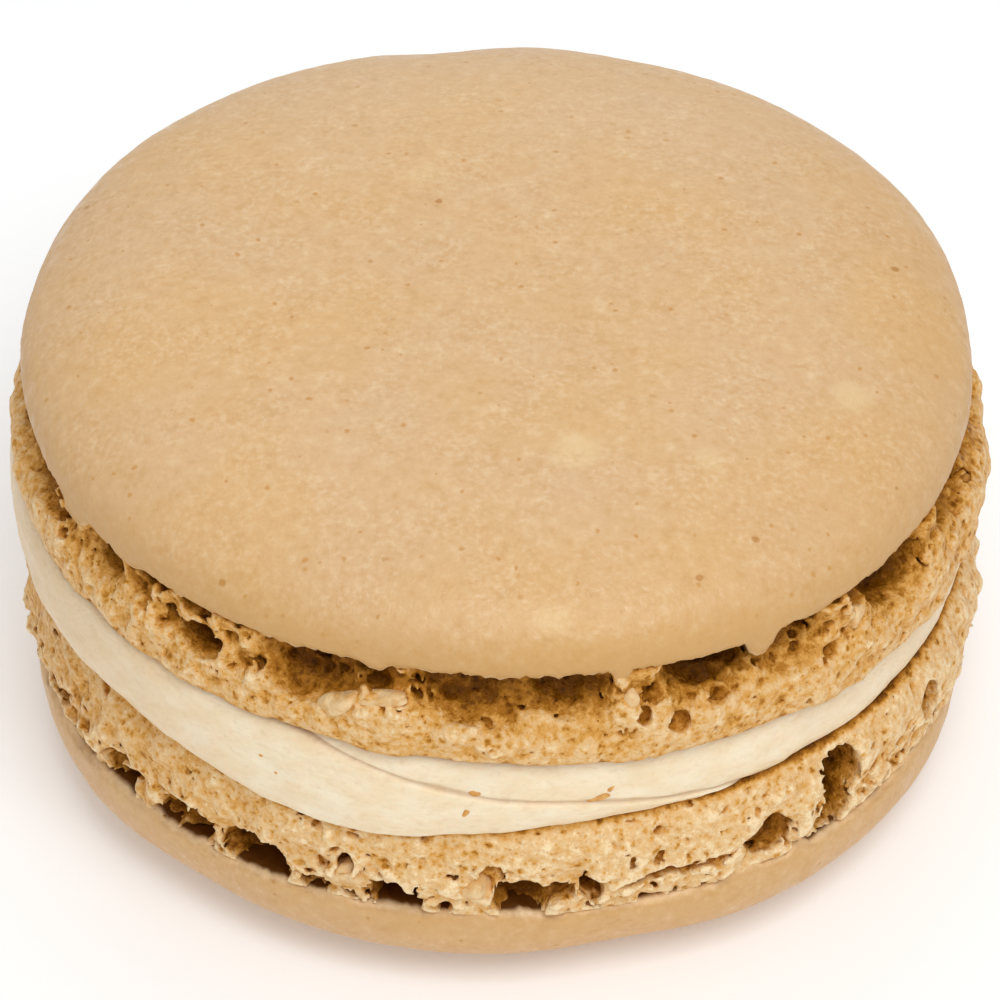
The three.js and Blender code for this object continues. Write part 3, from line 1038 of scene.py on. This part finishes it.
def froth_tree(name, shell):
    """Nodes that draw the froth's surface, trim it to one turn, roll it up and measure how it stands out."""
    tree = bpy.data.node_groups.new(name, "GeometryNodeTree")
    tree.interface.new_socket("Geometry", in_out="OUTPUT", socket_type="NodeSocketGeometry")
    strip = Field(tree.nodes.new("GeometryNodeInputPosition").outputs[0]).scaled(TO_MM)
    depth, sunk = froth(strip, shell)
    volume = strip_volume(tree, depth, shell)
    surface = then(tree, "GeometryNodeVolumeToMesh", volume.outputs[0], threshold=0.0, adaptivity=0.0)
    along, radius, _ = strip.parts()
    start = -ONCE_ROUND / 2 + STEP_ROUND / 4
    kept = (along - start).above(0) * (along - start - ONCE_ROUND).below(0) * (radius - CORE).above(0)
    trimmed = then(tree, "GeometryNodeDeleteGeometry", surface.outputs[0], selection=1 - kept)
    trimmed.domain = "FACE"
    browned_and_shaded = then(tree, "GeometryNodeStoreNamedAttribute", trimmed.outputs[0], name="sunk", value=sunk)
    in_the_ring = rolled(strip).scaled((MM, MM, MM))
    ring = then(tree, "GeometryNodeSetPosition", browned_and_shaded.outputs[0], position=in_the_ring)
    closed = then(tree, "GeometryNodeMergeByDistance", ring.outputs[0], distance=0.01 * MM)
    x, y, _ = strip.parts()
    from_axis = (x * x + y * y).power(0.5)
    knob = from_axis - evened_out(from_axis, KNOB_ROUNDS)
    knobbed = then(tree, "GeometryNodeStoreNamedAttribute", closed.outputs[0], name="knob", value=knob)
    then(tree, "NodeGroupOutput", knobbed.outputs[0])
    return tree


print("the strip is", STEPS_ROUND, "voxels round")

# %% [markdown]
# ## Feet
#
# The froth's mesh is open where it was trimmed, so its edges are filled first. Bubbles shut inside the dough,
# and scraps that hang in the air, are shells of their own in the mesh, and only what is linked to the body is
# kept. One round of smoothing takes off the stair steps of the voxels, and Decimate thins the mesh.


# %% Feet
MOST_TRIANGLES = 190_000


def keep_the_body(piece):
    """Fills the open edges and deletes all that isn't linked to the body of the foot."""
    bpy.ops.object.mode_set(mode="EDIT")
    bpy.ops.mesh.select_all(action="DESELECT")
    bpy.ops.mesh.select_mode(type="EDGE")
    only_open_edges = dict(use_wire=False, use_multi_face=False, use_non_contiguous=False, use_verts=False)
    bpy.ops.mesh.select_non_manifold(extend=False, use_boundary=True, **only_open_edges)
    bpy.ops.mesh.fill_holes(sides=0)
    bpy.ops.mesh.select_mode(type="VERT")
    bpy.ops.mesh.select_all(action="DESELECT")
    bpy.ops.object.mode_set(mode="OBJECT")
    points = points_of(piece)
    _, radius = polar(points)
    on_the_body = int(np.argmin(np.where(radius < CORE + 1, points[:, 2], 0)))
    piece.data.vertices[on_the_body].select = True
    bpy.ops.object.mode_set(mode="EDIT")
    bpy.ops.mesh.select_linked()
    bpy.ops.mesh.select_all(action="INVERT")
    bpy.ops.mesh.delete(type="VERT")
    bpy.ops.mesh.select_all(action="SELECT")
    bpy.ops.mesh.normals_make_consistent(inside=False)
    bpy.ops.object.mode_set(mode="OBJECT")
    print(piece.name, triangles_in(piece), "triangles without loose scraps and shut bubbles")


def make_foot(shell):
    deselect_all()
    bpy.ops.mesh.primitive_cube_add(size=MM)  # the froth's nodes put their own mesh in the cube's place
    piece = bpy.context.object
    piece.name = shell["name"] + "_foot"
    piece.modifiers.new("froth", "NODES").node_group = froth_tree(piece.name + " froth", shell)
    apply_modifiers(piece)
    print(piece.name, triangles_in(piece), "triangles before thinning")
    keep_the_body(piece)
    softer = piece.modifiers.new("softer", "SMOOTH")
    softer.factor = 0.5
    softer.iterations = 1
    thinner = piece.modifiers.new("thinner", "DECIMATE")
    thinner.ratio = min(1, MOST_TRIANGLES / triangles_in(piece))
    apply_modifiers(piece)
    piece.data.transform(shell["placing"])
    coat(piece, FOOT)
    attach(piece, "root")
    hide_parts(shell["node"])
    return piece


lower_foot = make_foot(LOWER)
upper_foot = make_foot(UPPER)

# %% [markdown]
# ## Buttercream
#
# The cream was piped on the lower shell in one turn, and then the upper shell was pressed down on it. The
# turn closes in a seam that slants down across the front, with a drawn-in bead above it and a fuller one
# below, and at the front left the cream was pressed out over the edge of the foot. The side is drawn as a
# straight wall and spun, and sums on its vertices bow it out, draw the seam in and press the cream over the
# foot. It could be sculpted, but sums can be changed later. Soft noise adds the dents.

# %% The cream's sizes
CREAM_RADIUS = 21.75
CREAM_STEPS = 460
CREAM_ROWS = 81
CREAM_SHIFT = 0.35  # pressed out towards -X
BEAD = 0.5  # how far the side bows out
LOWER_BEAD = 0.22  # how far the lower bead stands proud of the upper one
CREASE = 0.14  # how far the seam is drawn in
SEAM_WIDTH = 0.11
SEAM = [  # angle, and height as a share of the cream's
    (-116, 1.05),
    (-110, 0.86),
    (-100, 0.62),
    (-90, 0.45),
    (-80, 0.37),
    (-74, 0.27),
    (-62, 0.05),
    (-55, -0.1),
]
SEAM_SCALE = 4.0  # millimetres in a share of 1 there
OVERHANG = dict(angle=-108, half_width=6.5, out=0.5, down=0.95)


def foot_faces(x):
    """The heights of the two feet's flat faces, which hold the cream between them."""
    low = LOWER_CRUST + LOWER_FOOT + LOWER["rise"] * x
    high = UPPER_LIP - (x * math.sin(TIP) + UPPER_FOOT + UPPER["rise"] * x) / math.cos(TIP)
    return low, high


print("cream between", foot_faces(0), "mm at the middle")


# %% What touches the cream
def touching(piece, points, reach):
    """1 for points that touch the piece, fading to 0 about twice `reach` millimetres away from it."""
    away = [(piece.closest_point_on_mesh(point)[1] - point).length for point in map(Vector, points * MM)]
    return np.exp(-((np.array(away) / MM / reach) ** 2))


def paint_shadow_under_cream(foot, cream, amount, reach=0.32):
    """A broken golden line of painted shadow where a foot meets the cream, under the cream's edge."""
    points = points_of(foot)
    angle, _ = polar(points)
    dashes = 0.65 + 0.35 * np.sin(angle * 71) * np.sin(angle * 43 + 1)
    sunk = np.empty(len(points))
    foot.data.attributes["sunk"].data.foreach_get("value", sunk)
    sunk += amount * dashes * touching(cream, points, reach)
    foot.data.attributes["sunk"].data.foreach_set("value", sunk)


print("ready to stain")


# %% Cream
def make_cream():
    wall = [(CREAM_RADIUS, share) for share in np.linspace(0, 1, CREAM_ROWS)]
    piece = draw_outline("buttercream", [(0, 0), (12, 0), *wall, (12, 1), (0, 1)])
    spin_round(piece, CREAM_STEPS)
    points = points_of(piece)
    angle, radius = polar(points)
    degrees = np.degrees(angle)
    share = points[:, 2]
    on_side = radius > CREAM_RADIUS - 1

    # Two beads with the seam between them, which is shut round the back.
    below = (np.interp(degrees, *zip(*SEAM)) - share) * SEAM_SCALE
    front = np.where(degrees > 0, 0, 1)
    proud = np.maximum(0.5 + 0.5 * np.tanh(below / 0.12), np.clip(degrees / 150, 0, 1) ** 2)
    crease = np.exp(-((below / SEAM_WIDTH) ** 2)) * front
    bead = BEAD * (0.6 - np.abs(2 * share - 1) ** 3)
    out = bead + LOWER_BEAD * proud - CREASE * crease - CREAM_SHIFT * np.cos(angle)

    # The cream that was pressed out over the lower foot.
    away = angle_between(angle, math.radians(OVERHANG["angle"])) * CREAM_RADIUS / OVERHANG["half_width"]
    pressed = np.exp(-(away**2))
    out = out + pressed * np.clip(1 - share / 0.6, 0, 1) * OVERHANG["out"]
    radius = np.where(on_side, CREAM_RADIUS + out, radius)
    x = radius * np.cos(angle)
    low, high = foot_faces(x)
    sagging = on_side * pressed * OVERHANG["down"] * np.clip(1 - share / 0.35, 0, 1)
    put_points(piece, np.stack([x, radius * np.sin(angle), low + (high - low) * share - sagging], 1))
    rough_up(piece, 4.0, 0.3)
    rough_up(piece, 1.2, 0.14)
    apply_modifiers(piece)

    # Shade is painted in the seam and where the cream meets the feet.
    stained = np.where(on_side, 0.5 * np.exp(-((below / 0.06) ** 2)) * front, 0)
    stained = np.maximum(stained, 0.95 * touching(lower_foot, points_of(piece), 0.17))
    stained = np.maximum(stained, 0.55 * touching(upper_foot, points_of(piece), 0.22))
    piece.data.attributes.new("stained", "FLOAT", "POINT").data.foreach_set("value", stained)
    coat(piece, CREAM)
    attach(piece, "root")
    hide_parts("cream")
    return piece


buttercream = make_cream()
# painted shadow on each foot just under the cream
paint_shadow_under_cream(lower_foot, buttercream, 2.2)
paint_shadow_under_cream(upper_foot, buttercream, 0.7)

# %% [markdown]
# ## Almond bits and crumbs
#
# The shells are made of ground almond, and a few coarse bits show in the feet as pale flakes. Crumbs of shell
# stuck to the soft cream. Each is a small ball, pushed uneven and squashed flat, and all of one kind are
# joined into one piece. A ray shot at the macaron from outside finds the surface that a bit lies on.

# %% Where the bits lie
ALMONDS = [  # angle, height, half length, half width, half thickness, lean in degrees, distance from the axis
    (-108.6, 17.2, 1.05, 0.5, 0.5, 35, 22.05),
    (-103.5, 17.85, 1.3, 0.34, 0.45, 12, 21.9),
    (-108.2, 6.8, 0.8, 0.65, 0.6, 20, 21.7),
    (-93, 6.9, 0.75, 0.7, 0.6, 70, 21.7),
    (-75, 17.6, 0.55, 0.45, 0.4, 75, 21.85),
    (-44.5, 17.4, 0.6, 0.4, 0.4, 60, 21.9),
]
CRUMBS = [  # the same, and a distance of 0 lays them on the cream
    (-92.8, 12.85, 0.3, 0.16, 0.08, 5, 0),
    (-93.9, 11.95, 0.26, 0.15, 0.08, 60, 0),
    (-78.6, 12.15, 0.5, 0.16, 0.06, 12, 0),
    (-77.2, 12.5, 0.22, 0.12, 0.06, 40, 0),
    (-118, 13.1, 0.12, 0.08, 0.06, 0, 0),
    (-116, 12.45, 0.1, 0.08, 0.06, 0, 0),
]
print(len(ALMONDS), "bits of almond and", len(CRUMBS), "crumbs")

# %% Bits
OUTSIDE = 40  # a distance from the axis that is clear of the macaron
WAVES = np.array([[2.1, 3.3, 1.2], [1.7, -2.2, 2.9], [2.6, 1.1, -3.1]])  # three slanting ripples round a ball


def surface_radius(piece, angle, height):
    """The distance from the axis at which a ray from outside meets the piece."""
    out = Vector((math.cos(math.radians(angle)), math.sin(math.radians(angle)), 0))
    start = out * OUTSIDE * MM + Vector((0, 0, height * MM))
    _, place, _, _ = piece.ray_cast(start, -out)
    return Vector((place.x, place.y, 0)).length / MM


def scatter(name, sizes, finish, carrier=None, sunk=0.0):
    """One piece made of flat bits. Those with no distance lie on the carrier, sunk by that share of a bit."""
    made = []
    for count, (angle, height, length, width, thickness, lean, distance) in enumerate(sizes):
        radius = distance or surface_radius(carrier, angle, height) - sunk * thickness
        deselect_all()
        bpy.ops.mesh.primitive_ico_sphere_add(subdivisions=4, radius=1)
        bit = bpy.context.object
        points = points_of(bit) * MM
        ripple = np.sin(points @ WAVES + count * 1.7)
        points *= (1 + 0.16 * ripple.sum(axis=1) / 1.7)[:, None]
        points *= (thickness, length, width)
        put_points(bit, points)
        turn = Matrix.Rotation(math.radians(angle), 4, "Z") @ Matrix.Translation((radius * MM, 0, 0))
        tilt = Matrix.Rotation(math.radians(lean), 4, "X")
        bit.data.transform(Matrix.Translation((0, 0, height * MM)) @ turn @ tilt)
        made.append(bit)
    deselect_all()
    for bit in made:
        bit.select_set(True)
    bpy.context.view_layer.objects.active = made[0]
    bpy.ops.object.join()
    piece = bpy.context.object
    piece.name = name
    coat(piece, finish)
    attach(piece, "root")


scatter("almond_bits", ALMONDS, ALMOND)
scatter("crumbs", CRUMBS, CRUMB, carrier=buttercream, sunk=0.45)
